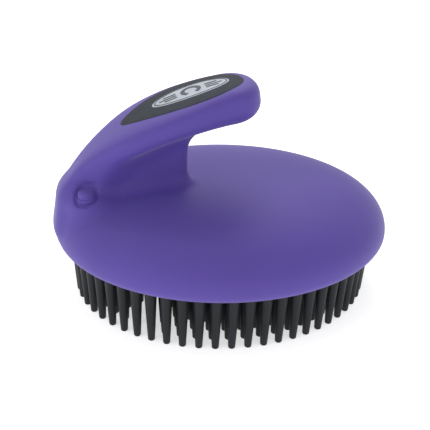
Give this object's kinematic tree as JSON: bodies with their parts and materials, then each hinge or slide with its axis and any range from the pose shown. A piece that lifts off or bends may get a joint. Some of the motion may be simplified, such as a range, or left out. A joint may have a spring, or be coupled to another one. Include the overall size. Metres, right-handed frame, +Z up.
{
  "type": "curry comb",
  "caption": "Oval palm-held grooming comb with a domed plastic back, a hooked web handle with a soft grip inlay, and rows of tapered rubber tines underneath.",
  "frame": {"origin": "centre of the oval on the plane of the tine tips, the face the comb stands on", "axes": "+X along the long axis of the oval, from the heel of the handle toward its free end; +Z up through the dome; the XZ plane is the mirror plane"},
  "size_m": [0.127, 0.115, 0.0801],
  "materials": {
    "shell": "soft-touch matte, fine texture",
    "grip": "matte moulded grip rubber",
    "badge": "printed pale emblem on dark ground",
    "inner_plastic": "as moulded",
    "screw_steel": "zinc plated",
    "pad_rubber": "matte moulded rubber"
  },
  "bodies": {
    "root": {"upper_shell": "shell", "heel_plug_near": "shell", "heel_plug_far": "shell", "grip_inlay": "grip", "badge": "badge", "inlay_plate": "inner_plastic", "pad_carrier": "inner_plastic", "heel_screws": "screw_steel", "carrier_screws": "screw_steel", "rubber_pad": "pad_rubber"}
  },
  "joints": []
}
